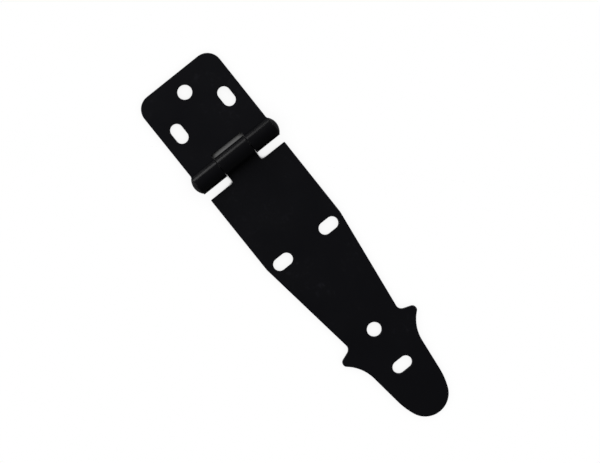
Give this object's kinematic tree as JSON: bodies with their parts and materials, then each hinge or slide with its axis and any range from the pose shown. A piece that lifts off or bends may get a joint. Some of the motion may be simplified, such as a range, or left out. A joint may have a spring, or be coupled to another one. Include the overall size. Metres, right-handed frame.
{
  "type": "strap hinge",
  "caption": "Flat strap hinge: a short rounded leaf and a long tapering strap with an eared spade tip, joined by a riveted pin through curled knuckles.",
  "frame": {"origin": "on the back plane of both leaves, under the middle of the pin", "axes": "+X along the strap towards its tip, +Y along the pin, +Z out of the leaves' fronts, on the side where the barrel stands"},
  "size_m": [0.2058, 0.0498, 0.0105],
  "materials": {
    "coated_sheet": "black powder coat, satin matte",
    "coated_pin": "black powder coat, satin matte"
  },
  "bodies": {
    "short_leaf": {"short_leaf": "coated_sheet", "hinge_pin": "coated_pin"},
    "strap": {"strap_leaf": "coated_sheet"}
  },
  "joints": [
    {"name": "strap_swing", "type": "hinge", "parent": "short_leaf", "child": "strap", "pos_m": [0, 0, 0.00525], "axis": [0, -1, 0], "range_deg": [-100, 180]}
  ]
}
